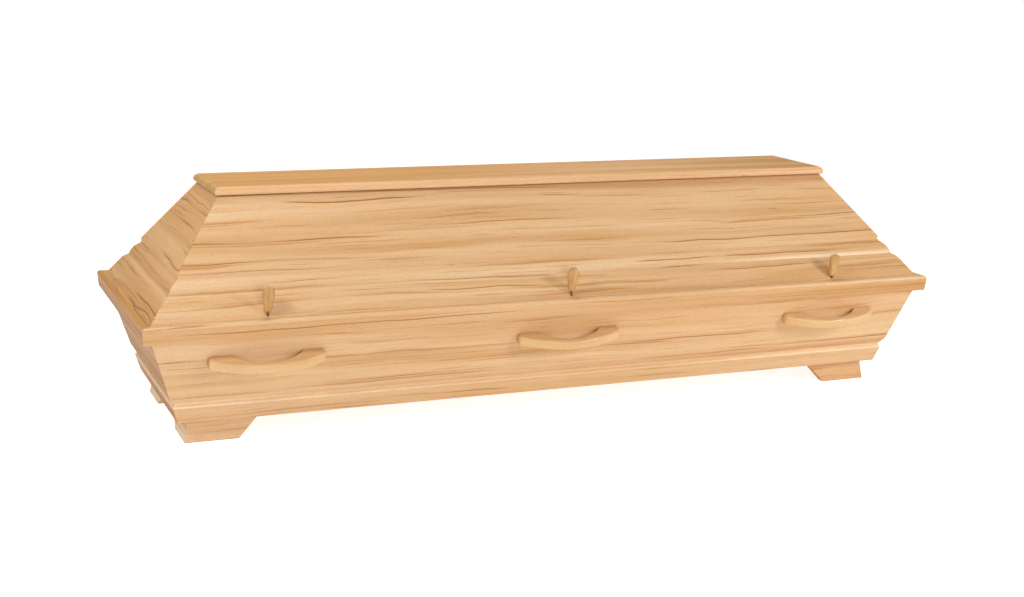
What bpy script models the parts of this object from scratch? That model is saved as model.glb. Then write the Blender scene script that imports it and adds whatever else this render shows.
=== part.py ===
# Wooden coffin with a lift-off lid, in metres, +Z up.
# The length runs along X, the front is at -Y, and the origin is on the ground under the middle.
# A moulding is drawn as (inset, height) points: inset is the level distance in from the rim's
# outermost edge, which is the same on the sides and the ends, so every corner is a 45 degree mitre.
import math

import bmesh
import bpy
from mathutils import Matrix, Vector

# Overall size, measured over the rim, and the heights of the layers from the ground up.
RIM_LENGTH = 2.050
RIM_WIDTH = 0.661
FOOT_HEIGHT = 0.0535
BODY_HEIGHT = 0.2055
RIM_HEIGHT = 0.0395
LID_RISE = 0.2492
TOP_BOARD_THICKNESS = 0.020

# Clearance between pieces that meet, and how finely curves are drawn and edges are told apart.
FIT_GAP = 0.0003
ARC_TOLERANCE = 0.0001
MERGE_DISTANCE = 0.00001
PLANE_DISTANCE = 0.000001
FLAT_LIMIT = math.radians(0.5)
SMOOTH_LIMIT = math.radians(35)

# Body: four flared boards with a routed cove, standing round a floor board.
BODY_FLARE = math.radians(72.4)
BODY_BOARD_THICKNESS = 0.020
BODY_TOP_INSET = 0.0229
COVE_TOP_ABOVE_EDGE = 0.0650
COVE_HEIGHT = 0.0210
COVE_DEPTH = 0.0063
COVE_BULGE = 0.0004
COVE_FILLET_HEIGHT = 0.0062
COVE_FILLET_DEPTH = 0.0017
COVE_FILLET_BULGE = 0.0006
COVE_LIP_HEIGHT = 0.0070
COVE_LIP_BULGE = 0.0016
FLOOR_THICKNESS = 0.016

# Rim: a frame of four strips under the lid's boards.
RIM_STRIP_WIDTH = 0.045
RIM_FACE_LEAN = 0.0026
RIM_TOP_RADIUS = 0.0065
RIM_EDGE_RADIUS = 0.0018

# Lid: four sloping boards with a routed moulding, and the top board that covers them.
LID_PITCH = math.radians(52.2)
LID_BOARD_THICKNESS = 0.018
LID_FOOT_INSET = 0.0217
MOULDING_TOP_ABOVE_FOOT = 0.0960
QUIRK_DROP = 0.0070
QUIRK_UNDERCUT = 0.0003
HOLLOW_RADIUS = 0.0080
HOLLOW_TURN = math.radians(50)
BEAD_FALL = 0.0303
BEAD_BULGE = 0.0040
BEAD_FOOT_DEPTH = 0.0072
STEP_FALL = 0.0125
STEP_BULGE = 0.0014
TOP_BOARD_OVERHANG = 0.0085
NOSE_TOP_RADIUS = 0.0135
NOSE_TOP_SEGMENTS = 6
NOSE_FOOT_RADIUS = 0.0050
NOSE_FOOT_SEGMENTS = 3

# Feet: four corner brackets under the floor board.
FOOT_BOARD_THICKNESS = 0.020
FOOT_SIDE_LENGTH = 0.126
FOOT_END_LENGTH = 0.116
FOOT_END_SPLAY = 0.042
FOOT_SETBACK = 0.0256
FOOT_FLARE = 0.0080

# Handles: three wooden bows on each long side, square to the board that they sit on.
STATION_FROM_END = 0.282
HANDLE_LENGTH = 0.265
HANDLE_HEIGHT = 0.025
HANDLE_REACH = 0.054
HANDLE_END_DEPTH = 0.017
HANDLE_BAR_DEPTH = 0.015
HANDLE_FOOT_WIDTH = 0.052
HANDLE_EDGE_RADIUS = 0.004
HANDLE_EDGE_SEGMENTS = 3
HANDLE_EDGE_ANGLE = math.radians(40)
HANDLE_CUT_OFF = 0.012
HANDLE_BELOW_RIM = 0.054

# Lid screws: a wooden wing head on a steel pin, which holds the lid down on the body.
SCREW_LEAN = math.radians(10)
SCREW_ABOVE_FOOT = 0.0070
SCREW_HEAD_LENGTH = 0.0560
SCREW_SHOULDER_DROP = 0.0125
SCREW_TOP_WIDTH = 0.0150
SCREW_SHOULDER_WIDTH = 0.0275
SCREW_TIP_WIDTH = 0.0155
SCREW_TOP_THICKNESS = 0.0160
SCREW_TIP_THICKNESS = 0.0100
SCREW_CHAMFER = 0.0015
PIN_DIAMETER = 0.0050
PIN_IN_HEAD = 0.0200
PIN_IN_BODY = 0.0300
PIN_SIDES = 16
# How each head is left after tightening, from the left to the right of a side: its turn, and
# how far it still stands off the lid.
SCREW_TURNS = (math.radians(-28), math.radians(-4), math.radians(5))
SCREW_LIFTS = (0.0092, 0.0120, 0.0058)

BEECH = (0.76, 0.47, 0.24)
PALE_BEECH = (0.79, 0.52, 0.25)
OCHRE_BEECH = (0.60, 0.36, 0.14)
DARK_STEEL = (0.06, 0.04, 0.03)
WOOD_ROUGHNESS = 0.45
STEEL_ROUGHNESS = 0.40
STEEL_METALLIC = 0.8

BODY_BOTTOM = FOOT_HEIGHT
BODY_TOP = BODY_BOTTOM + BODY_HEIGHT
RIM_TOP = BODY_TOP + RIM_HEIGHT
LID_TOP = RIM_TOP + LID_RISE

# From the middle of a long side out to the handle and the lid screw at each end.
STATION_SPACING = RIM_LENGTH / 2 - STATION_FROM_END

# Each side's name and its turn about Z from the front.
LONG_SIDES = (("front", 0.0), ("back", math.pi))
SHORT_SIDES = (("right", math.pi / 2), ("left", -math.pi / 2))

# The bulge of a quarter round over its chord, as a share of its radius.
QUARTER_BULGE = 1 - math.cos(math.pi / 4)


def body_inset(height):
    return BODY_TOP_INSET + (BODY_TOP - height) / math.tan(BODY_FLARE)


def lid_inset(height):
    return LID_FOOT_INSET + (height - RIM_TOP) / math.tan(LID_PITCH)


def arc(start, end, bulge):
    # Points after start, up to and with end, on an arc that bulges to the right of the chord.
    start = Vector(start)
    end = Vector(end)
    chord = end - start
    middle = (start + end) / 2
    right = Vector((chord.y, -chord.x)).normalized()
    radius = (chord.length ** 2 / 4 + bulge ** 2) / (2 * bulge)
    centre = middle + right * (bulge - radius)
    first = start - centre
    turn = 4 * math.atan(2 * bulge / chord.length)
    steps = math.ceil(abs(turn) / (2 * math.acos(1 - ARC_TOLERANCE / abs(radius))))
    points = []
    for step in range(1, steps + 1):
        angle = turn * step / steps
        cosine = math.cos(angle)
        sine = math.sin(angle)
        points.append((centre.x + first.x * cosine - first.y * sine,
                       centre.y + first.x * sine + first.y * cosine))
    return points


def lid_board_outline():
    # The outer face, from the top edge down, then the flat inner face back up.
    top = LID_TOP
    foot = RIM_TOP + FIT_GAP
    wall = LID_BOARD_THICKNESS / math.sin(LID_PITCH)
    arris = RIM_TOP + MOULDING_TOP_ABOVE_FOOT
    quirk = (lid_inset(arris) + QUIRK_UNDERCUT, arris - QUIRK_DROP)
    bead_top = (quirk[0] - HOLLOW_RADIUS * (1 - math.cos(HOLLOW_TURN)),
                quirk[1] - HOLLOW_RADIUS * math.sin(HOLLOW_TURN))
    notch_height = bead_top[1] - BEAD_FALL
    notch = (lid_inset(notch_height) + BEAD_FOOT_DEPTH, notch_height)
    step_foot = notch_height - STEP_FALL
    points = [(lid_inset(top), top), (lid_inset(arris), arris), quirk]
    points += arc(quirk, bead_top, -HOLLOW_RADIUS * (1 - math.cos(HOLLOW_TURN / 2)))
    points += arc(bead_top, notch, BEAD_BULGE)
    points += arc(notch, (lid_inset(step_foot), step_foot), STEP_BULGE)
    points += [(lid_inset(foot), foot), (lid_inset(foot) + wall, foot), (lid_inset(top) + wall, top)]
    return points


def rim_outline():
    # Clockwise from the inner top edge, over the rounded outer edge, to the underside.
    bottom = BODY_TOP + FIT_GAP
    face_top = RIM_TOP - RIM_TOP_RADIUS
    face_bottom = bottom + RIM_EDGE_RADIUS
    edge_foot = (RIM_FACE_LEAN + RIM_EDGE_RADIUS, bottom)
    points = [(RIM_STRIP_WIDTH, RIM_TOP), (RIM_TOP_RADIUS, RIM_TOP)]
    points += arc(points[-1], (0.0, face_top), RIM_TOP_RADIUS * QUARTER_BULGE)
    points.append((RIM_FACE_LEAN, face_bottom))
    points += arc(points[-1], edge_foot, RIM_EDGE_RADIUS * QUARTER_BULGE)
    points.append((RIM_STRIP_WIDTH, bottom))
    return points


def body_board_outline():
    # The outer face, from the top edge down through the cove, then the flat inner face.
    wall = BODY_BOARD_THICKNESS / math.sin(BODY_FLARE)
    cove_top = BODY_BOTTOM + COVE_TOP_ABOVE_EDGE
    cove_bottom = cove_top - COVE_HEIGHT
    fillet_top = cove_bottom + COVE_FILLET_HEIGHT
    lip_bottom = cove_bottom - COVE_LIP_HEIGHT
    deepest = body_inset(cove_bottom) + COVE_DEPTH
    points = [(body_inset(BODY_TOP), BODY_TOP), (body_inset(cove_top), cove_top)]
    points += arc(points[-1], (deepest - COVE_FILLET_DEPTH, fillet_top), COVE_BULGE)
    points += arc(points[-1], (deepest, cove_bottom), -COVE_FILLET_BULGE)
    points += arc(points[-1], (body_inset(lip_bottom), lip_bottom), COVE_LIP_BULGE)
    points += [(body_inset(BODY_BOTTOM), BODY_BOTTOM),
               (body_inset(BODY_BOTTOM) + wall, BODY_BOTTOM),
               (body_inset(BODY_TOP) + wall, BODY_TOP)]
    return points


def handle_outline():
    # Seen from above, with the board that the handle sits on along X and the bow towards -Y.
    # The feet run on past the board's face, where they are cut off flat.
    half = HANDLE_LENGTH / 2
    inner = half - HANDLE_FOOT_WIDTH
    points = [(-half, HANDLE_CUT_OFF), (-half, -HANDLE_END_DEPTH)]
    points += arc(points[-1], (half, -HANDLE_END_DEPTH), HANDLE_REACH - HANDLE_END_DEPTH)
    points += [(half, HANDLE_CUT_OFF), (inner, HANDLE_CUT_OFF), (inner, 0.0)]
    points += arc(points[-1], (-inner, 0.0), -(HANDLE_REACH - HANDLE_BAR_DEPTH))
    points.append((-inner, HANDLE_CUT_OFF))
    return points


def screw_head_outline():
    # Seen from the front, with the tip at zero height.
    shoulder = SCREW_HEAD_LENGTH - SCREW_SHOULDER_DROP
    right_half = [(SCREW_TIP_WIDTH / 2, 0.0),
                  (SCREW_SHOULDER_WIDTH / 2, shoulder),
                  (SCREW_TOP_WIDTH / 2, SCREW_HEAD_LENGTH)]
    left_half = [(-across, height) for across, height in reversed(right_half)]
    return right_half + left_half


def foot_outline():
    # Seen from above, with the outer corner at the origin and the legs along +X and +Y.
    side = FOOT_SIDE_LENGTH + FOOT_END_SPLAY
    end = FOOT_END_LENGTH + FOOT_END_SPLAY
    thickness = FOOT_BOARD_THICKNESS
    return [(0.0, 0.0), (side, 0.0), (side, thickness),
            (thickness, thickness), (thickness, end), (0.0, end)]


def clear_scene():
    for obj in list(bpy.data.objects):
        bpy.data.objects.remove(obj, do_unlink=True)


def new_collection(name):
    collection = bpy.data.collections.new(name)
    bpy.context.scene.collection.children.link(collection)
    return collection


def prism(name, outline, depth):
    # A flat outline, extruded both ways along its own Z to the given depth, as a closed bmesh.
    curve = bpy.data.curves.new(name, "CURVE")
    curve.dimensions = "2D"
    curve.fill_mode = "BOTH"
    curve.extrude = depth / 2
    spline = curve.splines.new("POLY")
    spline.points.add(len(outline) - 1)
    for point, (across, up) in zip(spline.points, outline):
        point.co = (across, up, 0.0, 1.0)
    spline.use_cyclic_u = True
    obj = bpy.data.objects.new(name, curve)
    bpy.context.scene.collection.objects.link(obj)
    depsgraph = bpy.context.evaluated_depsgraph_get()
    mesh = bpy.data.meshes.new_from_object(obj.evaluated_get(depsgraph))
    bpy.data.objects.remove(obj, do_unlink=True)
    bpy.data.curves.remove(curve)
    shape = bmesh.new()
    shape.from_mesh(mesh)
    bpy.data.meshes.remove(mesh)
    bmesh.ops.remove_doubles(shape, verts=shape.verts, dist=MERGE_DISTANCE)
    bmesh.ops.dissolve_limit(shape, angle_limit=FLAT_LIMIT, verts=shape.verts, edges=shape.edges)
    return shape


def cut_flat(shape, point, normal):
    # Removes what lies on the normal's side of a plane, and closes the cut.
    geometry = shape.verts[:] + shape.edges[:] + shape.faces[:]
    bmesh.ops.bisect_plane(shape, geom=geometry, dist=PLANE_DISTANCE, plane_co=point,
                           plane_no=normal, clear_outer=True)
    rim = [edge for edge in shape.edges if edge.is_boundary]
    bmesh.ops.holes_fill(shape, edges=rim)


def finish_mesh(name, shape, smooth=False):
    shape.normal_update()
    bmesh.ops.recalc_face_normals(shape, faces=shape.faces)
    mesh = bpy.data.meshes.new(name)
    shape.to_mesh(mesh)
    shape.free()
    if smooth:
        mesh.shade_smooth()
        mesh.set_sharp_from_angle(angle=SMOOTH_LIMIT)
    return mesh


def add_piece(collection, name, mesh, colour, roughness=WOOD_ROUGHNESS, metallic=0.0):
    obj = bpy.data.objects.new(name, mesh)
    collection.objects.link(obj)
    material = bpy.data.materials.new(name)
    material.use_nodes = True
    shader = material.node_tree.nodes["Principled BSDF"]
    shader.inputs["Base Color"].default_value = (*colour, 1.0)
    shader.inputs["Roughness"].default_value = roughness
    shader.inputs["Metallic"].default_value = metallic
    if not mesh.materials:
        mesh.materials.append(None)
    obj.material_slots[0].link = "OBJECT"
    obj.material_slots[0].material = material
    return obj


def mitred_mesh(name, outline, half_length, half_span):
    # A moulded length that faces -Y, half_span from the middle, with both ends mitred.
    shape = prism(name, outline, 2 * half_length)
    lay_along_x = Matrix(((0, 0, 1, 0), (1, 0, 0, -half_span), (0, 1, 0, 0), (0, 0, 0, 1)))
    bmesh.ops.transform(shape, matrix=lay_along_x, verts=shape.verts)
    for side in (-1, 1):
        normal = Vector((side, 1, 0)).normalized()
        corner = Vector((side * half_length, -half_span, 0))
        cut_flat(shape, corner - normal * FIT_GAP / 2, normal)
    return finish_mesh(name, shape, smooth=True)


def add_frame(collection, prefixes, outline, colour):
    # Four mitred lengths round the coffin: the long sides share a mesh, and so do the ends.
    half_length = RIM_LENGTH / 2
    half_width = RIM_WIDTH / 2
    pieces = {}
    for prefix, sides, own, away in ((prefixes[0], LONG_SIDES, half_length, half_width),
                                     (prefixes[1], SHORT_SIDES, half_width, half_length)):
        mesh = mitred_mesh(f"{prefix}_{len(sides)}_sides", outline, own, away)
        for side, turn in sides:
            piece = add_piece(collection, f"{prefix}_{side}", mesh, colour)
            piece.rotation_euler = (0, 0, turn)
            pieces[side] = piece
    return pieces


def add_top_board(collection):
    # A flat board with a nose all round: widely rounded above and tightly below.
    inset = lid_inset(LID_TOP) - TOP_BOARD_OVERHANG
    size = (RIM_LENGTH - 2 * inset, RIM_WIDTH - 2 * inset, TOP_BOARD_THICKNESS - FIT_GAP)
    shape = bmesh.new()
    bmesh.ops.create_cube(shape, size=1.0)
    bmesh.ops.scale(shape, vec=size, verts=shape.verts)
    for face, radius, segments in ((1, NOSE_TOP_RADIUS, NOSE_TOP_SEGMENTS),
                                   (-1, NOSE_FOOT_RADIUS, NOSE_FOOT_SEGMENTS)):
        level = face * size[2] / 2 - face * MERGE_DISTANCE
        edges = [edge for edge in shape.edges if all(face * (vert.co.z - level) > 0 for vert in edge.verts)]
        bmesh.ops.bevel(shape, geom=edges, offset=radius, offset_type="OFFSET", segments=segments,
                        profile=0.5, affect="EDGES", material=-1)
    board = add_piece(collection, "lid_top_board", finish_mesh("lid_top_board", shape, True), BEECH)
    board.location = (0, 0, LID_TOP + FIT_GAP + size[2] / 2)


def add_floor_board(collection):
    # Its edges slope with the inner faces of the boards round it.
    wall = BODY_BOARD_THICKNESS / math.sin(BODY_FLARE) + FIT_GAP
    top = BODY_BOTTOM + FLOOR_THICKNESS
    shape = bmesh.new()
    bmesh.ops.create_cube(shape, size=1.0)
    for vert in shape.verts:
        height = top if vert.co.z > 0 else BODY_BOTTOM
        inset = body_inset(height) + wall
        vert.co.x = math.copysign(RIM_LENGTH / 2 - inset, vert.co.x)
        vert.co.y = math.copysign(RIM_WIDTH / 2 - inset, vert.co.y)
        vert.co.z = height
    add_piece(collection, "floor_board", finish_mesh("floor_board", shape), BEECH)


def add_feet(collection):
    # A bracket foot flares out to the ground, and its two ends splay out to the top.
    top = FOOT_HEIGHT - FIT_GAP
    setback = body_inset(BODY_BOTTOM) + FOOT_SETBACK
    for row, towards_y in (("front", 1), ("back", -1)):
        for column, towards_x in (("left", 1), ("right", -1)):
            name = f"foot_{row}_{column}"
            shape = prism(name, foot_outline(), top)
            bmesh.ops.translate(shape, vec=(0, 0, top / 2), verts=shape.verts)
            cut_flat(shape, (FOOT_SIDE_LENGTH, 0, 0), (top, 0, -FOOT_END_SPLAY))
            cut_flat(shape, (0, FOOT_END_LENGTH, 0), (0, top, -FOOT_END_SPLAY))
            for vert in shape.verts:
                out = setback - FOOT_FLARE * (1 - vert.co.z / top)
                vert.co.x = towards_x * (vert.co.x + out - RIM_LENGTH / 2)
                vert.co.y = towards_y * (vert.co.y + out - RIM_WIDTH / 2)
            add_piece(collection, name, finish_mesh(name, shape), BEECH)


def handle_mesh():
    shape = prism("handle", handle_outline(), HANDLE_HEIGHT)
    sharp = [edge for edge in shape.edges if edge.calc_face_angle(0) > HANDLE_EDGE_ANGLE]
    bmesh.ops.bevel(shape, geom=sharp, offset=HANDLE_EDGE_RADIUS, offset_type="OFFSET",
                    segments=HANDLE_EDGE_SEGMENTS, profile=0.5, affect="EDGES", material=-1,
                    clamp_overlap=True)
    cut_flat(shape, (0, -FIT_GAP, 0), (0, 1, 0))
    return finish_mesh("handle", shape, smooth=True)


def stations():
    # Names and places along a side, as seen on each side of the coffin.
    for side, turn in LONG_SIDES:
        for index, column in enumerate(("left", "middle", "right")):
            across = (index - 1) * STATION_SPACING
            along = across if side == "front" else -across
            yield f"{side}_{column}", index, turn, along


def add_handles(collection):
    mesh = handle_mesh()
    height = BODY_TOP - HANDLE_BELOW_RIM
    for name, _, turn, along in stations():
        handle = add_piece(collection, f"handle_{name}", mesh, PALE_BEECH)
        place = Vector((along, body_inset(height) - RIM_WIDTH / 2, height))
        handle.location = Matrix.Rotation(turn, 3, "Z") @ place
        handle.rotation_euler = (math.pi / 2 - BODY_FLARE, 0, turn)


def screw_frame(turn, along, lift):
    # The frame of a lid screw: Z is up the pin, and the origin is under the head, lifted along
    # the pin from where it enters the lid.
    height = RIM_TOP + SCREW_ABOVE_FOOT
    place = Vector((along, lid_inset(height) - RIM_WIDTH / 2, height))
    entry = Matrix.Rotation(turn, 4, "Z") @ Matrix.Translation(place)
    return entry @ Matrix.Rotation(SCREW_LEAN, 4, "X") @ Matrix.Translation((0, 0, lift))


def screw_head_mesh():
    shape = prism("screw_head", screw_head_outline(), SCREW_TOP_THICKNESS)
    for vert in shape.verts:
        share = vert.co.y / SCREW_HEAD_LENGTH
        thickness = SCREW_TIP_THICKNESS + (SCREW_TOP_THICKNESS - SCREW_TIP_THICKNESS) * share
        vert.co.z = math.copysign(thickness / 2, vert.co.z)
    bmesh.ops.rotate(shape, matrix=Matrix.Rotation(math.pi / 2, 3, "X"), verts=shape.verts)
    bmesh.ops.bevel(shape, geom=shape.edges[:], offset=SCREW_CHAMFER, offset_type="OFFSET",
                    segments=1, profile=0.5, affect="EDGES", material=-1)
    return finish_mesh("screw_head", shape)


def rod_mesh(name, radius, bottom, top):
    shape = bmesh.new()
    bmesh.ops.create_cone(shape, cap_ends=True, segments=PIN_SIDES, radius1=radius, radius2=radius,
                          depth=top - bottom)
    bmesh.ops.translate(shape, vec=(0, 0, (top + bottom) / 2), verts=shape.verts)
    return finish_mesh(name, shape, smooth=True)


def pin_reach():
    # How far the pin runs down from the lid's surface into the body when it is fully home.
    fall = RIM_TOP + SCREW_ABOVE_FOOT - BODY_TOP + PIN_IN_BODY
    return fall / math.cos(SCREW_LEAN)


def bore(piece, cutter):
    cut = piece.modifiers.new("bore", "BOOLEAN")
    cut.operation = "DIFFERENCE"
    cut.solver = "EXACT"
    cut.object = cutter


def add_screws(collection, cutters, frames):
    radius = PIN_DIAMETER / 2
    head = screw_head_mesh()
    pin = rod_mesh("screw_pin", radius, -pin_reach(), PIN_IN_HEAD)
    hole = rod_mesh("pin_hole", radius + FIT_GAP, -pin_reach() - FIT_GAP, PIN_IN_HEAD + FIT_GAP)
    for name, index, turn, along in stations():
        axis = screw_frame(turn, along, SCREW_LIFTS[index])
        own_turn = SCREW_TURNS[index] if turn == 0 else -SCREW_TURNS[index]
        cutter = bpy.data.objects.new(f"pin_hole_{name}", hole)
        cutters.objects.link(cutter)
        cutter.matrix_world = axis
        cutter.hide_render = True
        cutter.display_type = "WIRE"
        wooden = add_piece(collection, f"screw_head_{name}", head, OCHRE_BEECH)
        wooden.matrix_world = axis @ Matrix.Rotation(own_turn, 4, "Z")
        steel = add_piece(collection, f"screw_pin_{name}", pin, DARK_STEEL, STEEL_ROUGHNESS,
                          STEEL_METALLIC)
        steel.matrix_world = axis
        bore(wooden, cutter)
        side = name.split("_")[0]
        for frame in frames:
            bore(frame[side], cutter)


def build():
    clear_scene()
    coffin = new_collection("coffin")
    cutters = new_collection("cutters")
    body_boards = add_frame(coffin, ("side_board", "end_board"), body_board_outline(), BEECH)
    rim_strips = add_frame(coffin, ("lid_rim", "lid_rim"), rim_outline(), BEECH)
    lid_boards = add_frame(coffin, ("lid_board", "lid_board"), lid_board_outline(), BEECH)
    add_top_board(coffin)
    add_floor_board(coffin)
    add_feet(coffin)
    add_handles(coffin)
    add_screws(coffin, cutters, (body_boards, rim_strips, lid_boards))


build()
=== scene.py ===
import math

import bmesh
import bpy
from mathutils import Matrix, Vector


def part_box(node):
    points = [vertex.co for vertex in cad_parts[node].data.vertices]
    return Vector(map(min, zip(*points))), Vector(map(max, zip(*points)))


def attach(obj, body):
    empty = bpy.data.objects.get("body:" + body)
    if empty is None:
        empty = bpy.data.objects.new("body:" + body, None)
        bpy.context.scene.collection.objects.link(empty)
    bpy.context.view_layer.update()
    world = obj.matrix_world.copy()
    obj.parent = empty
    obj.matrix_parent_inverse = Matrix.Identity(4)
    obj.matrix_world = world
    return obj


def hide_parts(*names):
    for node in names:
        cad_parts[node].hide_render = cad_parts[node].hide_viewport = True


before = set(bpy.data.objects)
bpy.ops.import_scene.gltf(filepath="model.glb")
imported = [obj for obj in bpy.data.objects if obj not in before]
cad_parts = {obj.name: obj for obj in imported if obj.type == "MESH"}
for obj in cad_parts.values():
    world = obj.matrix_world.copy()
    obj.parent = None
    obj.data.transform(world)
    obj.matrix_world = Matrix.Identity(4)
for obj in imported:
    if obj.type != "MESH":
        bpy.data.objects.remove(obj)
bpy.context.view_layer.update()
print("frame loaded:", len(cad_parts), "nodes")

# turn of each side round Z, in degrees from the front
sideTurns = {"front": 0, "right": 90, "back": 180, "left": -90}


def toLinear(hexColour):
    # sRGB hex to the linear values that a shader reads
    channels = [int(hexColour[i:i + 2], 16) / 255 for i in (1, 3, 5)]
    return [c / 12.92 if c <= 0.04045 else ((c + 0.055) / 1.055) ** 2.4 for c in channels] + [1.0]


def addNode(tree, kind, settings=None, links=None):
    # settings name a property of the node, or one of its sockets by name or number;
    # a link comes from a socket, or from a node's first output
    node = tree.nodes.new(kind)
    for key, value in (settings or {}).items():
        if isinstance(key, str) and hasattr(node, key):
            setattr(node, key, value)
        else:
            node.inputs[key].default_value = value
    for key, source in (links or {}).items():
        tree.links.new(source.outputs[0] if hasattr(source, "outputs") else source, node.inputs[key])
    return node


def newMaterial(name):
    material = bpy.data.materials.new(name)
    material.use_nodes = True
    tree = material.node_tree
    return material, tree, tree.nodes["Principled BSDF"]


# the wood: lengths and widths in millimetres, amounts from 0 to 1; start and full are the noise
# values where something begins to show, and where it has its whole strength
beech = {
    "palest": "#EBC89B",
    "light": "#E3BA89",
    "tan": "#D3A470",
    "warm": "#DCAD75",
    "blush": "#E6BA8F",
    "bandMm": 36,            # width of the broad light and dark bands
    "bandLengthMm": 1500,
    "bandStops": {"tan": 0.30, "light": 0.48, "palest": 0.66},
    # warm and pink patches over the bands, each so many bands wide
    "patches": {
        "warm": {"bands": 2.6, "lengthMm": 1100, "start": 0.48, "full": 0.72, "amount": 0.60,
                 "away": 3.1},
        "blush": {"bands": 1.6, "lengthMm": 600, "start": 0.48, "full": 0.70, "amount": 0.45,
                  "away": 5.9},
    },
    "waveMm": 9,             # how far the figure wanders across the board
    "waveLengthMm": 800,
    "rippleMm": 2.8,         # a shorter wave on top of it
    "rippleLengthMm": 170,
    "ringTilt": 0.6,         # the growth rings lie at a slant through the board
    "streaks": {
        "bold": {"colour": "#985C28", "amount": 0.80, "gapMm": 47, "widthMm": 4.2, "lengthMm": 560,
                 "start": 0.50, "full": 0.66, "driftMm": 5, "driftLengthMm": 260, "shadeMm": 8},
        "soft": {"colour": "#C08446", "amount": 0.60, "gapMm": 29, "widthMm": 9.0, "lengthMm": 460,
                 "start": 0.48, "full": 0.70, "driftMm": 4, "driftLengthMm": 300, "shadeMm": 9},
        "thin": {"colour": "#A0652E", "amount": 0.75, "gapMm": 21, "widthMm": 2.8, "lengthMm": 340,
                 "start": 0.52, "full": 0.68, "driftMm": 3, "driftLengthMm": 190, "shadeMm": 4},
        "faint": {"colour": "#B07A43", "amount": 0.60, "gapMm": 9, "widthMm": 2.2, "lengthMm": 210,
                  "start": 0.48, "full": 0.70, "driftMm": 1, "driftLengthMm": 150, "shadeMm": 1.5},
        "eyes": {"colour": "#92602F", "amount": 0.50, "gapMm": 37, "widthMm": 5.5, "lengthMm": 120,
                 "start": 0.68, "full": 0.82, "driftMm": 3, "driftLengthMm": 120, "shadeMm": 3},
    },
    "shade": "#CC904F",      # the soft shade along one side of a streak
    "shadeAmount": 0.50,
    "fleck": "#A66C38",      # beech is known by its short brown ray flecks
    "fleckMm": 0.9,
    "fleckLengthMm": 5,
    "fleckStart": 0.60,
    "fleckFull": 0.74,
    "fleckAmount": 0.45,
    "fibreMm": 1.6,          # real pores are finer, but wouldn't show
    "fibreLengthMm": 24,
    "fibreDarkest": 0.94,
    "fibreLightest": 1.04,
    "corner": "#8F5624",     # painted shade where two pieces meet, in hollows and under overhangs
    "cornerShadeMm": 8,
    "cornerShadeAmount": 0.70,
    "cornerShut": 0.32,      # how open a spot is where it has all of that,
    "cornerOpen": 0.78,      # and where it has none
    "roughness": 0.42,
    "roughnessSpread": 0.05,
    "ior": 1.5,              # lacquer
    "gloss": 0.12,
    "coat": 0.28,
    "coatRoughness": 0.24,
    "bump": 0.10,
    "reliefMm": 0.5,
}


def grainRotation(turn, pitch):
    # turns the board's own run into X and its face into the XY plane
    lay = Matrix.Rotation(math.radians(-pitch), 3, "X") @ Matrix.Rotation(math.radians(-turn), 3, "Z")
    return lay.to_euler()


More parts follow.
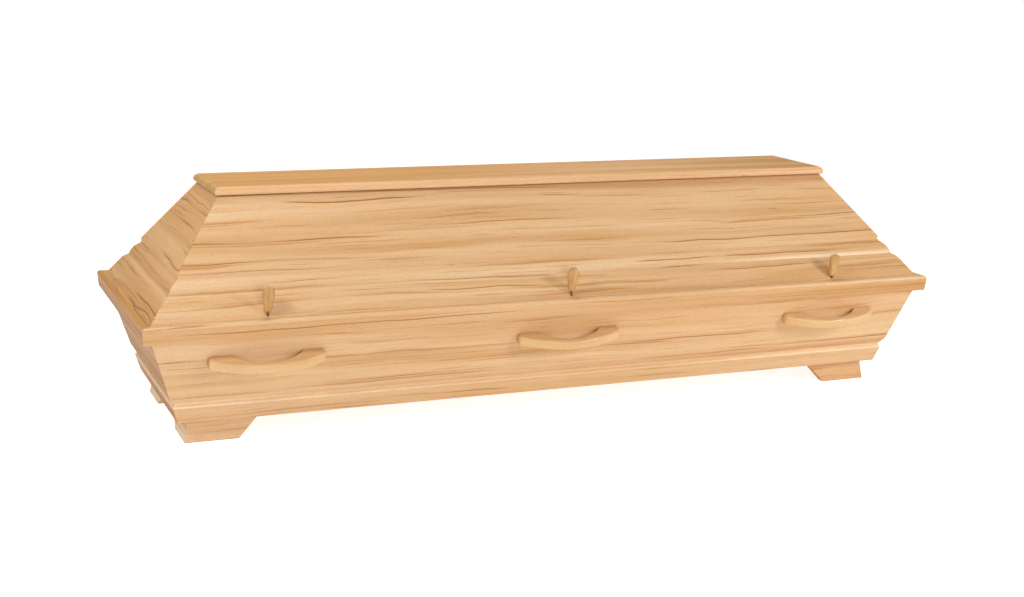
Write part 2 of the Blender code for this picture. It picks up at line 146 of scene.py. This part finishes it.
def addStreaks(tree, figure, lines, ringTilt, laneShift):
    # the board is split into lanes along its run, and each holds one line at a place of its own,
    # which thins out and comes back; gives the line, and the soft shade along one side of it
    rowStep = 7.31                     # keeps neighbouring lanes apart in the noise
    strengthPlace = (0, 3.7, 5.1)      # and a line's strength apart from its drift
    laneStart, laneShare = 0.3, 0.4    # a line lies in the middle part of its lane
    slimmest, widthSpread = 0.6, 0.8   # times its usual width
    solidShare = 0.3                   # the part of the half width that has the whole colour
    leastWidth = 0.0001                # the width divides, so it is never nothing
    gap = lines["gapMm"]
    spot = addNode(tree, "ShaderNodeSeparateXYZ", {}, {"Vector": figure})
    across = addNode(tree, "ShaderNodeMath", {"operation": "MULTIPLY_ADD", 1: ringTilt},
                     {0: spot.outputs["Z"], 2: spot.outputs["Y"]})
    lane = addNode(tree, "ShaderNodeMath", {"operation": "MULTIPLY_ADD", 1: 1000 / gap, 2: laneShift},
                   {0: across})
    number = addNode(tree, "ShaderNodeMath", {"operation": "FLOOR"}, {0: lane})
    within = addNode(tree, "ShaderNodeMath", {"operation": "FRACT"}, {0: lane})
    dice = addNode(tree, "ShaderNodeTexWhiteNoise", {"noise_dimensions": "1D"}, {"W": number})
    throws = addNode(tree, "ShaderNodeSeparateColor", {}, {"Color": dice.outputs["Color"]})
    row = addNode(tree, "ShaderNodeMath", {"operation": "MULTIPLY", 1: rowStep}, {0: number})
    run = addNode(tree, "ShaderNodeCombineXYZ", {}, {"X": spot.outputs["X"], "Y": row})

    # where the line is, and how strong
    driftRun = addNode(tree, "ShaderNodeMapping", {"Scale": (1000 / lines["driftLengthMm"], 1, 1)},
                       {"Vector": run})
    drift = addNode(tree, "ShaderNodeTexNoise", {"Scale": 1.0, "Detail": 2.0}, {"Vector": driftRun})
    reach = lines["driftMm"] / gap
    home = addNode(tree, "ShaderNodeMath",
                   {"operation": "MULTIPLY_ADD", 1: laneShare, 2: laneStart - reach},
                   {0: throws.outputs["Red"]})
    middle = addNode(tree, "ShaderNodeMath", {"operation": "MULTIPLY_ADD", 1: 2 * reach},
                     {0: drift, 2: home})
    away = addNode(tree, "ShaderNodeMath", {"operation": "SUBTRACT"}, {0: within, 1: middle})
    strengthRun = addNode(tree, "ShaderNodeMapping",
                          {"Scale": (1000 / lines["lengthMm"], 1, 1), "Location": strengthPlace},
                          {"Vector": run})
    comes = addNode(tree, "ShaderNodeTexNoise", {"Scale": 1.0, "Detail": 1.0}, {"Vector": strengthRun})
    strength = addNode(tree, "ShaderNodeMapRange",
                       {"interpolation_type": "SMOOTHSTEP", 1: lines["start"], 2: lines["full"]}, {0: comes})

    # its width goes with its strength, so that both ends taper
    half = lines["widthMm"] / 2 / gap
    widest = addNode(tree, "ShaderNodeMath",
                     {"operation": "MULTIPLY_ADD", 1: widthSpread * half, 2: slimmest * half},
                     {0: throws.outputs["Green"]})
    width = addNode(tree, "ShaderNodeMath", {"operation": "MULTIPLY"}, {0: widest, 1: strength})
    someWidth = addNode(tree, "ShaderNodeMath", {"operation": "MAXIMUM", 1: leastWidth}, {0: width})
    distance = addNode(tree, "ShaderNodeMath", {"operation": "ABSOLUTE"}, {0: away})
    ratio = addNode(tree, "ShaderNodeMath", {"operation": "DIVIDE"}, {0: distance, 1: someWidth})
    core = addNode(tree, "ShaderNodeMapRange",
                   {"interpolation_type": "SMOOTHSTEP", 1: solidShare, 2: 1.0, 3: 1.0, 4: 0.0}, {0: ratio})
    line = addNode(tree, "ShaderNodeMath", {"operation": "MULTIPLY"}, {0: core, 1: strength})
    beside = addNode(tree, "ShaderNodeMapRange", {1: 0.0, 2: lines["shadeMm"] / gap, 3: 1.0, 4: 0.0},
                     {0: away})
    oneSide = addNode(tree, "ShaderNodeMath", {"operation": "GREATER_THAN", 1: 0.0}, {0: away})
    shaded = addNode(tree, "ShaderNodeMath", {"operation": "MULTIPLY"}, {0: beside, 1: oneSide})
    shade = addNode(tree, "ShaderNodeMath", {"operation": "MULTIPLY"}, {0: shaded, 1: strength})
    return line, shade


def beechMaterial(name, wood, rotation, shift):
    # European beech, planed and sprayed with a satin lacquer: peach and tan bands, crisp brown
    # streaks that wander along the board, flecks and fibre close by, painted shade in the inner corners,
    # and a soft clear shine over it
    material, tree, shader = newMaterial(name)
    place = addNode(tree, "ShaderNodeTexCoord")
    grain = addNode(tree, "ShaderNodeMapping", {"Rotation": rotation, "Location": shift},
                    {"Vector": place.outputs["Object"]})

    def stretched(source, lengthMm, widthMm, detail, away=0.0):
        # noise drawn out along the board, and moved away from the other noises
        squeezed = addNode(tree, "ShaderNodeMapping",
                           {"Scale": (1000 / lengthMm, 1000 / widthMm, 1000 / widthMm),
                            "Location": (away, away, away)}, {"Vector": source})
        return addNode(tree, "ShaderNodeTexNoise", {"Scale": 1.0, "Detail": detail}, {"Vector": squeezed})

    # the figure wanders: the place across the board is moved by a long wave and a short one
    waveSlimness, rippleSlimness = 4, 3   # times longer than wide
    swing = 4                             # noise moves by about a quarter, so this makes it whole
    wave = stretched(grain, wood["waveLengthMm"], wood["waveLengthMm"] / waveSlimness, detail=1.0)
    ripple = stretched(grain, wood["rippleLengthMm"], wood["rippleLengthMm"] / rippleSlimness,
                       detail=1.0, away=7.3)
    waved = addNode(tree, "ShaderNodeMath", {"operation": "MULTIPLY", 1: swing * wood["waveMm"] / 1000},
                    {0: wave})
    move = addNode(tree, "ShaderNodeMath",
                   {"operation": "MULTIPLY_ADD", 1: swing * wood["rippleMm"] / 1000},
                   {0: ripple, 2: waved})
    offset = addNode(tree, "ShaderNodeCombineXYZ", {}, {"Y": move})
    figure = addNode(tree, "ShaderNodeVectorMath", {"operation": "ADD"}, {0: grain, 1: offset})

    # broad bands of the ground colours, and the patches over them
    bands = stretched(figure, wood["bandLengthMm"], wood["bandMm"], detail=3.0)
    ground = addNode(tree, "ShaderNodeValToRGB", {}, {"Fac": bands})
    stops = wood["bandStops"]
    ramp = ground.color_ramp
    ramp.elements[0].position = stops["tan"]
    ramp.elements[0].color = toLinear(wood["tan"])
    ramp.elements[1].position = stops["palest"]
    ramp.elements[1].color = toLinear(wood["palest"])
    ramp.elements.new(stops["light"]).color = toLinear(wood["light"])
    colour = ground.outputs["Color"]
    for tone, patch in wood["patches"].items():
        spread = stretched(figure, patch["lengthMm"], wood["bandMm"] * patch["bands"],
                           detail=2.0, away=patch["away"])
        amount = addNode(tree, "ShaderNodeMapRange",
                         {"interpolation_type": "SMOOTHSTEP", 1: patch["start"], 2: patch["full"],
                          4: patch["amount"]}, {0: spread})
        colour = addNode(tree, "ShaderNodeMix", {"data_type": "RGBA", 7: toLinear(wood[tone])},
                         {0: amount, 6: colour}).outputs[2]

    laneStep = 13.7   # so that the lanes of two kinds of streak don't fall together
    for index, lines in enumerate(wood["streaks"].values()):
        line, shade = addStreaks(tree, figure, lines, wood["ringTilt"], index * laneStep)
        soft = addNode(tree, "ShaderNodeMath", {"operation": "MULTIPLY", 1: wood["shadeAmount"]}, {0: shade})
        dark = addNode(tree, "ShaderNodeMath", {"operation": "MULTIPLY", 1: lines["amount"]}, {0: line})
        colour = addNode(tree, "ShaderNodeMix", {"data_type": "RGBA", 7: toLinear(wood["shade"])},
                         {0: soft, 6: colour}).outputs[2]
        colour = addNode(tree, "ShaderNodeMix", {"data_type": "RGBA", 7: toLinear(lines["colour"])},
                         {0: dark, 6: colour}).outputs[2]

    # flecks and fibre, then painted shade in the inner corners; fibre noise hardly leaves 0.30 to
    # 0.75, and band noise 0.2 to 0.8
    fibreLow, fibreHigh = 0.30, 0.75
    bandLow, bandHigh = 0.2, 0.8
    flecks = addNode(tree, "ShaderNodeMapRange",
                     {1: wood["fleckStart"], 2: wood["fleckFull"], 4: wood["fleckAmount"]},
                     {0: stretched(figure, wood["fleckLengthMm"], wood["fleckMm"], detail=1.0, away=9.1)})
    colour = addNode(tree, "ShaderNodeMix", {"data_type": "RGBA", 7: toLinear(wood["fleck"])},
                     {0: flecks, 6: colour}).outputs[2]
    fibre = stretched(figure, wood["fibreLengthMm"], wood["fibreMm"], detail=2.0)
    grey = addNode(tree, "ShaderNodeMapRange",
                   {1: fibreLow, 2: fibreHigh, 3: wood["fibreDarkest"], 4: wood["fibreLightest"]},
                   {0: fibre})
    fibred = addNode(tree, "ShaderNodeHueSaturation", {}, {"Value": grey, "Color": colour})
    # painted shade: the wood is darkened where the space close around it is shut in, in corners, hollows and
    # under overhangs
    nook = addNode(tree, "ShaderNodeAmbientOcclusion", {"samples": 6, "Distance": wood["cornerShadeMm"] / 1000})
    paintedCornerShade = addNode(tree, "ShaderNodeMapRange",
                     {1: wood["cornerShut"], 2: wood["cornerOpen"], 3: wood["cornerShadeAmount"], 4: 0.0},
                     {0: nook.outputs["AO"]})
    finished = addNode(tree, "ShaderNodeMix", {"data_type": "RGBA", 7: toLinear(wood["corner"])},
                       {0: paintedCornerShade, 6: fibred})
    tree.links.new(finished.outputs[2], shader.inputs["Base Color"])

    # the darker bands are a little duller
    rough = addNode(tree, "ShaderNodeMapRange",
                    {1: bandLow, 2: bandHigh, 3: wood["roughness"] + wood["roughnessSpread"],
                     4: wood["roughness"] - wood["roughnessSpread"]}, {0: bands})
    tree.links.new(rough.outputs[0], shader.inputs["Roughness"])
    relief = addNode(tree, "ShaderNodeBump", {"Strength": wood["bump"], "Distance": wood["reliefMm"] / 1000},
                     {"Height": fibre})
    tree.links.new(relief.outputs["Normal"], shader.inputs["Normal"])
    shader.inputs["IOR"].default_value = wood["ior"]
    shader.inputs["Specular IOR Level"].default_value = wood["gloss"]
    shader.inputs["Coat Weight"].default_value = wood["coat"]
    shader.inputs["Coat Roughness"].default_value = wood["coatRoughness"]
    return material


# distances in metres, angles in degrees
edges = {"merge": 0.00002, "flatBelow": 0.5, "sharpAbove": 30, "segments": 2}


def easedCopy(nodeName, ease):
    # a node's shape with its doubles merged, its flats joined up and its sharp edges eased
    shape = bmesh.new()
    shape.from_mesh(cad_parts[nodeName].data)
    bmesh.ops.remove_doubles(shape, verts=shape.verts, dist=edges["merge"])
    bmesh.ops.dissolve_limit(shape, angle_limit=math.radians(edges["flatBelow"]),
                             verts=shape.verts, edges=shape.edges)
    if ease > 0:
        sharp = [edge for edge in shape.edges if len(edge.link_faces) == 2
                 and edge.calc_face_angle(0) > math.radians(edges["sharpAbove"])]
        bmesh.ops.bevel(shape, geom=sharp, offset=ease, offset_type="OFFSET",
                        segments=edges["segments"], profile=0.5, affect="EDGES", material=-1,
                        clamp_overlap=True)
    return shape


def finishPiece(name, shape, materials, nodeName, sharpFrom=40):
    mesh = bpy.data.meshes.new(name)
    shape.to_mesh(mesh)
    shape.free()
    for material in materials:
        mesh.materials.append(material)
    mesh.shade_smooth()
    mesh.set_sharp_from_angle(angle=math.radians(sharpFrom))
    piece = bpy.data.objects.new(name, mesh)
    bpy.context.scene.collection.objects.link(piece)
    flat = piece.modifiers.new("flat faces stay flat", "WEIGHTED_NORMAL")
    flat.keep_sharp = True
    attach(piece, "root")
    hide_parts(nodeName)


# what the four sides of the body, the lid and the rim differ in: closer streaks at the ends, and
# wavier figure there
closeStreaks = {"bold": dict(beech["streaks"]["bold"], gapMm=21, lengthMm=460),
                "thin": dict(beech["streaks"]["thin"], gapMm=11, lengthMm=330),
                "faint": beech["streaks"]["faint"]}
faintStreaks = {"faint": beech["streaks"]["faint"]}
wavy = {"waveMm": 14, "waveLengthMm": 420, "rippleMm": 3.4, "rippleLengthMm": 130,
        "streaks": closeStreaks}
paleWavy = dict(wavy, palest="#EBC088", light="#E1AE75", tan="#CF965B", warm="#DBA467",
                blush="#E6B281")
# painted shade: the body's end boards get a darker wood, standing in for the shade they lie in
shadedWavy = dict(wavy, palest="#CF9B5F", light="#C18A4C", tan="#AC733B", warm="#BA7F43",
                blush="#CC9869", coat=0.10, gloss=0.04)
# the rim was cut on the quarter, so its streaks lie close and straight; its left strip gets a darker wood
# with darker lines, painted shade over its grain
closeLines = {"colour": "#9A6431", "amount": 0.75, "gapMm": 9, "widthMm": 2.6, "lengthMm": 700,
              "start": 0.44, "full": 0.60, "driftMm": 1, "driftLengthMm": 260, "shadeMm": 3}
darkLines = dict(closeLines, colour="#7C4A1E", amount=0.90, gapMm=7, start=0.36)
stripes = {"waveMm": 4, "ringTilt": 1.0, "streaks": {"close": closeLines}}
paleStripes = dict(stripes, palest="#E5BB8C", light="#DCAE7B", tan="#CA965F", warm="#D3A168")
shadedStripes = dict(stripes, palest="#D6A268", light="#C48B50", tan="#AC723A", warm="#BA7E42",
                   blush="#CC955E", coat=0.14, gloss=0.05, streaks={"close": darkLines})
# painted highlight: the rounded edges get a paler wood where the light would catch them, and their lacquer
# shines
lipHighlightBeech = dict(beech, palest="#FBDFBA", light="#F5D2A6", tan="#EAC194", warm="#F0C89A",
                blush="#F8D4B2", streaks=faintStreaks, cornerShadeAmount=0.0, coat=0.60)
rimEdgeHighlightBeech = dict(lipHighlightBeech, palest="#EECA9E", light="#E6BC8C", tan="#DBAD79", warm="#E1B381",
                    blush="#E9BE98", coat=0.40)
# the left rim strip's rounded edge gets a less pale, ochre painted highlight, with that strip's darker lines
leftEdgeHighlightBeech = dict(lipHighlightBeech, palest="#DFB172", light="#D2A05E", tan="#C28C4A", warm="#CA9450",
                      blush="#D2A064", coat=0.20, streaks={"close": darkLines})

# each set of boards: how far the edges are eased in metres, the pitch of the outer face in
# degrees, what its wood has of its own, where in the trunk each board was cut, which sets its
# figure, and the rounded lip between two heights above the board's foot
bodyBoards = {
    "ease": 0.0008,
    "pitch": 107.6,
    "wood": {"palest": "#ECC99D", "light": "#E4BB8B", "tan": "#D5A673", "cornerShadeAmount": 0.30,
             "coat": 0.36},
    "figures": {"left": shadedWavy, "right": shadedWavy},
    "shifts": {"front": (0.0, 0.0, 0.0), "back": (3.0, 1.0, 0.4),
               "left": (6.0, 2.0, 0.8), "right": (9.0, 3.0, 1.2)},
    "lip": (0.0370, 0.0502),     # under the cove
    "lipHighlightWoods": dict.fromkeys(sideTurns, lipHighlightBeech),
}
lidBoards = {
    "ease": 0.0007,
    "pitch": 52.2,
    "wood": {"palest": "#E8C69C", "light": "#E0B788", "tan": "#D0A16F"},
    "figures": {"left": paleWavy, "right": paleWavy},
    "shifts": {"front": (12.0, 4.0, 1.6), "back": (15.0, 5.0, 2.0),
               "left": (18.0, 6.0, 2.4), "right": (21.0, 7.0, 2.8)},
}
rimStrips = {
    "ease": 0.0007,
    "pitch": 90,
    "wood": {"cornerShadeAmount": 0.50},
    "figures": {"front": paleStripes, "back": stripes, "right": stripes, "left": shadedStripes},
    "shifts": {"front": (24.0, 8.0, 3.2), "back": (27.0, 9.0, 3.6),
               "left": (30.0, 10.0, 4.0), "right": (33.0, 11.0, 4.4)},
    "lip": (0.0332, 0.0393),     # at the top of the outer face
    "lipHighlightWoods": {**dict.fromkeys(sideTurns, rimEdgeHighlightBeech), "left": leftEdgeHighlightBeech},
}


def addBoards(prefix, settings, endPrefix=None):
    for side, turn in sideTurns.items():
        start = endPrefix if endPrefix and side in ("left", "right") else prefix
        nodeName = f"{start}_{side}"
        wood = {**beech, **settings["wood"], **settings["figures"].get(side, {})}
        lay = grainRotation(turn, settings["pitch"])
        shift = settings["shifts"][side]
        shape = easedCopy(nodeName, settings["ease"])
        materials = [beechMaterial(f"lacquered beech {nodeName}", wood, lay, shift)]
        # painted highlight: the faces on the rounded lip get a paler wood of their own
        if "lip" in settings:
            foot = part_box(nodeName)[0][2]
            low, high = settings["lip"]
            for face in shape.faces:
                face.material_index = 1 if low < face.calc_center_median().z - foot < high else 0
            materials.append(beechMaterial(f"lacquered beech {nodeName} lip", settings["lipHighlightWoods"][side],
                                           lay, shift))
        finishPiece(f"{nodeName}_wood", shape, materials, nodeName)


addBoards("side_board", bodyBoards, "end_board")
addBoards("lid_board", lidBoards)
addBoards("lid_rim", rimStrips)
print("sloping boards and rim done")


# painted shade: the top board's face gets a darker, more orange wood for the shade on its up-facing top; the
# floor board takes the same wood
topBeech = dict(beech, palest="#E4B67B", light="#DBA668", tan="#CB9656", warm="#D39B56",
                blush="#DDA96F", coat=0.10, gloss=0.06,
                streaks={"thin": dict(beech["streaks"]["thin"], amount=0.45),
                         "faint": beech["streaks"]["faint"]})
# the top board's long noses get a paler wood, a painted highlight, and stronger painted shade where they
# meet the lid;
# end grain drinks more of the lacquer, so its short noses are darker and more yellow
noseBeech = dict(topBeech, palest="#F0CBA0", light="#E8BC8E", tan="#DCAA76", warm="#E2B07C",
                 blush="#ECBF98", cornerShadeAmount=0.9)
endGrain = dict(topBeech, palest="#D9B176", light="#CFA566", tan="#C09351", warm="#CA9C5A",
                blush="#CFA56A")
# a face is a nose where it leans further sideways than noseFrom; above 1 there is none
flatBoards = {
    "lid_top_board": {"ease": 0.0007, "shift": (36.0, 12.4, 4.9), "noseFrom": 0.5},
    "floor_board": {"ease": 0.0007, "shift": (39.0, 13.0, 5.2), "noseFrom": 2.0},
}


def addFlatBoards():
    for nodeName, settings in flatBoards.items():
        shape = easedCopy(nodeName, settings["ease"])
        for face in shape.faces:
            if abs(face.normal.x) > settings["noseFrom"]:
                face.material_index = 2
            elif abs(face.normal.y) > settings["noseFrom"]:
                face.material_index = 1
            else:
                face.material_index = 0
        materials = [beechMaterial(f"lacquered beech {nodeName} {part}", wood, grainRotation(0, 0),
                                   settings["shift"])
                     for part, wood in (("face", topBeech), ("nose", noseBeech), ("end grain", endGrain))]
        finishPiece(f"{nodeName}_wood", shape, materials, nodeName)


addFlatBoards()
print("top and floor boards done")


# small pieces of one kind are cut one after the other: each lies a step further in the trunk,
# counted from first
feet = {"ease": 0.0010, "step": (2.3, 0.7, 0.3), "first": 20, "endShift": 0.5, "mitreSnap": 0.00001}
# the legs under the long sides show brown lines; those under the ends get a much paler wood, a painted
# highlight for the light on their outer faces
footWoods = {
    "side": dict(beech, palest="#F0CCA2", light="#E8BF90", tan="#DCAE7C", warm="#E4B47F",
                 blush="#EAC096",
                 streaks={"close": dict(closeStreaks["thin"], start=0.38),
                          "faint": beech["streaks"]["faint"]}),
    "end": dict(beech, palest="#FCE5C4", light="#F8DDB9", tan="#EFCDA3", warm="#F4D3AA",
                blush="#F8DABB", cornerShadeAmount=0.40, streaks=faintStreaks),
}


def addFeet():
    for index, nodeName in enumerate(["foot_front_left", "foot_front_right",
                                      "foot_back_left", "foot_back_right"]):
        low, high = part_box(nodeName)
        row = "front" if "front" in nodeName else "back"
        column = "left" if "left" in nodeName else "right"
        # the two legs meet in a mitre at the foot's outer corner
        corner = Vector((low[0] if column == "left" else high[0], low[1] if row == "front" else high[1], 0))
        inward = Vector((1 if column == "left" else -1, 1 if row == "front" else -1, 0))
        across = Vector((-inward.x, inward.y, 0)).normalized()
        shape = easedCopy(nodeName, feet["ease"])
        bmesh.ops.bisect_plane(shape, geom=shape.verts[:] + shape.edges[:] + shape.faces[:],
                               dist=feet["mitreSnap"], plane_co=corner, plane_no=across)
        for face in shape.faces:
            face.material_index = 1 if (face.calc_center_median() - corner).dot(across) > 0 else 0
        shift = Vector(feet["step"]) * (index + feet["first"])
        materials = [beechMaterial(f"lacquered beech {nodeName} {leg}", footWoods[leg],
                                   grainRotation(sideTurns[side], 90), shift + Vector((0, extra, 0)))
                     for leg, side, extra in (("side", row, 0.0), ("end", column, feet["endShift"]))]
        finishPiece(f"{nodeName}_wood", shape, materials, nodeName)


addFeet()
print("feet done")


# plainer wood for the small pieces: hardly any streaks, and a shinier coat on what hands carry;
# the solids of the handles are rounded and those of the heads chamfered, so nothing is eased
quietStreaks = {"faint": dict(beech["streaks"]["faint"], amount=0.35)}
paleBeech = dict(beech, palest="#ECC591", light="#E7BC86", tan="#E0B37B", warm="#E4B77B",
                 streaks=quietStreaks, ringTilt=0.0, cornerShadeAmount=0.30, roughness=0.34, coat=0.80,
                 coatRoughness=0.11)
handles = {"ease": 0.0, "step": (1.9, 0.6, 0.2), "first": 31}


def addHandles():
    for index, nodeName in enumerate(sorted(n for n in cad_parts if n.startswith("handle_"))):
        lay = grainRotation(sideTurns[nodeName.split("_")[1]], bodyBoards["pitch"])
        material = beechMaterial(f"lacquered pale beech {nodeName}", paleBeech, lay,
                                 Vector(handles["step"]) * (index + handles["first"]))
        finishPiece(f"{nodeName}_wood", easedCopy(nodeName, handles["ease"]), [material], nodeName)


addHandles()
print("handles done")


ochreBeech = dict(beech, palest="#D9AD76", light="#CB9D66", tan="#B88750", warm="#C38F54",
                  blush="#CC9E68", streaks=quietStreaks, bandMm=9, waveMm=1, rippleMm=0.5, coat=0.25)
screwHeads = {"ease": 0.0, "step": (1.3, 0.9, 0.5), "first": 41, "sharpFrom": 15}
screwPins = {"base": "#7A5532", "worn": "#A98050", "wornStart": 0.45, "wornFull": 0.70,
             "speckMm": 1.5, "roughness": 0.45, "roughnessSpread": 0.08, "metallic": 0.25}


def brownedSteel(name, steel):
    # steel wire browned in oil: dark brown, with lighter rubbed patches and a dull shine
    material, tree, shader = newMaterial(name)
    place = addNode(tree, "ShaderNodeTexCoord")
    specks = addNode(tree, "ShaderNodeTexNoise", {"Scale": 1000 / steel["speckMm"], "Detail": 3.0},
                     {"Vector": place.outputs["Object"]})
    colours = addNode(tree, "ShaderNodeValToRGB", {}, {"Fac": specks})
    ramp = colours.color_ramp
    ramp.elements[0].position = steel["wornStart"]
    ramp.elements[0].color = toLinear(steel["base"])
    ramp.elements[1].position = steel["wornFull"]
    ramp.elements[1].color = toLinear(steel["worn"])
    rough = addNode(tree, "ShaderNodeMapRange",
                    {3: steel["roughness"] - steel["roughnessSpread"],
                     4: steel["roughness"] + steel["roughnessSpread"]}, {0: specks})
    tree.links.new(colours.outputs["Color"], shader.inputs["Base Color"])
    tree.links.new(rough.outputs[0], shader.inputs["Roughness"])
    shader.inputs["Metallic"].default_value = steel["metallic"]
    return material


def addScrews():
    steel = brownedSteel("browned steel", screwPins)
    upright = Matrix.Rotation(math.radians(90), 3, "Y").to_euler()
    for index, nodeName in enumerate(sorted(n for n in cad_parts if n.startswith("screw_"))):
        if nodeName.startswith("screw_pin"):
            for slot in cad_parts[nodeName].material_slots:
                slot.material = steel
            continue
        material = beechMaterial(f"lacquered ochre beech {nodeName}", ochreBeech, upright,
                                 Vector(screwHeads["step"]) * (index + screwHeads["first"]))
        finishPiece(f"{nodeName}_wood", easedCopy(nodeName, screwHeads["ease"]), [material], nodeName,
                    screwHeads["sharpFrom"])


addScrews()
print("lid screws done")


# a white table in a pale room, with wide softboxes above and in front, a small one off each
# front corner and two behind; places and sizes in metres
studio = {"floor": "#F2F1EF", "floorShade": "#F6F5F4", "floorSize": 30, "floorDrop": 0.0005,
          "floorRoughness": 0.9, "patchMm": 667, "glow": "#FFFFFF", "floorGlow": 0.19, "floorSeen": 0.83,
          "room": "#FFFFFF", "roomLight": 0.18, "roomSeen": 1.0,
          "lampColour": "#FFFCF8", "lampAim": (0, 0, 0.3)}
lamps = [
    {"name": "softbox left", "place": (-2.45, -1.1, 1.9), "size": (0.6, 0.6), "watts": 29},
    {"name": "softbox right", "place": (2.15, -2.2, 1.25), "size": (0.6, 0.6), "watts": 30},
    {"name": "softbox front", "place": (-0.2, -4.4, 0.8), "size": (1.8, 0.9), "watts": 39},
    {"name": "softbox above", "place": (-0.3, 0.4, 2.8), "size": (2.6, 1.4), "watts": 35},
    {"name": "softbox back left", "place": (-1.8, 3.0, 2.6), "size": (0.9, 0.9), "watts": 20},
    {"name": "softbox back right", "place": (1.8, 3.0, 2.6), "size": (0.9, 0.9), "watts": 20},
]
# the camera that was fitted to the photo: angles in degrees, lens and sensor in millimetres
view = {"place": (-1.5526, -3.5919, 1.1024), "yaw": 23.031, "pitch": 12.568, "roll": 1.449,
        "lens": 54.344, "sensor": 36, "clipEnd": 100}


def addFloor():
    shape = bmesh.new()
    bmesh.ops.create_grid(shape, x_segments=1, y_segments=1, size=studio["floorSize"] / 2)
    mesh = bpy.data.meshes.new("studio floor")
    shape.to_mesh(mesh)
    shape.free()
    floor = bpy.data.objects.new("studio_floor", mesh)
    bpy.context.scene.collection.objects.link(floor)
    floor.location.z = -studio["floorDrop"]
    # white acrylic sheet, lit from below, which shows brighter than it lights
    material, tree, shader = newMaterial("white acrylic table")
    place = addNode(tree, "ShaderNodeTexCoord")
    patches = addNode(tree, "ShaderNodeTexNoise", {"Scale": 1000 / studio["patchMm"], "Detail": 2.0},
                      {"Vector": place.outputs["Object"]})
    colours = addNode(tree, "ShaderNodeValToRGB", {}, {"Fac": patches})
    colours.color_ramp.elements[0].color = toLinear(studio["floor"])
    colours.color_ramp.elements[1].color = toLinear(studio["floorShade"])
    tree.links.new(colours.outputs["Color"], shader.inputs["Base Color"])
    shader.inputs["Roughness"].default_value = studio["floorRoughness"]
    shader.inputs["Emission Color"].default_value = toLinear(studio["glow"])
    path = addNode(tree, "ShaderNodeLightPath")
    glow = addNode(tree, "ShaderNodeMapRange", {3: studio["floorGlow"], 4: studio["floorSeen"]},
                   {0: path.outputs["Is Camera Ray"]})
    tree.links.new(glow.outputs[0], shader.inputs["Emission Strength"])
    mesh.materials.append(material)


def addLight():
    # the room is bright to the eye, but gives only a part of the light
    world = bpy.data.worlds.new("studio")
    world.use_nodes = True
    tree = world.node_tree
    background = tree.nodes["Background"]
    background.inputs["Color"].default_value = toLinear(studio["room"])
    path = addNode(tree, "ShaderNodeLightPath")
    strength = addNode(tree, "ShaderNodeMapRange", {3: studio["roomLight"], 4: studio["roomSeen"]},
                       {0: path.outputs["Is Camera Ray"]})
    tree.links.new(strength.outputs[0], background.inputs["Strength"])
    bpy.context.scene.world = world
    for lamp in lamps:
        light = bpy.data.lights.new(lamp["name"], "AREA")
        light.shape = "RECTANGLE"
        light.size, light.size_y = lamp["size"]
        light.energy = lamp["watts"]
        light.color = toLinear(studio["lampColour"])[:3]
        holder = bpy.data.objects.new(lamp["name"], light)
        bpy.context.scene.collection.objects.link(holder)
        holder.location = lamp["place"]
        aim = Vector(studio["lampAim"]) - holder.location
        holder.rotation_euler = aim.to_track_quat("-Z", "Y").to_euler()
        holder.visible_camera = False


def addCamera():
    camera = bpy.data.cameras.new("camera")
    camera.lens = view["lens"]
    camera.sensor_width = view["sensor"]
    camera.clip_end = view["clipEnd"]
    holder = bpy.data.objects.new("camera", camera)
    bpy.context.scene.collection.objects.link(holder)
    yaw = Matrix.Rotation(-math.radians(view["yaw"]), 4, "Z")
    pitch = Matrix.Rotation(math.pi / 2 - math.radians(view["pitch"]), 4, "X")
    roll = Matrix.Rotation(math.radians(view["roll"]), 4, "Z")
    holder.matrix_world = Matrix.Translation(view["place"]) @ yaw @ pitch @ roll
    bpy.context.scene.camera = holder


addFloor()
addLight()
addCamera()
bpy.context.scene.view_settings.view_transform = "Standard"
print("studio done")
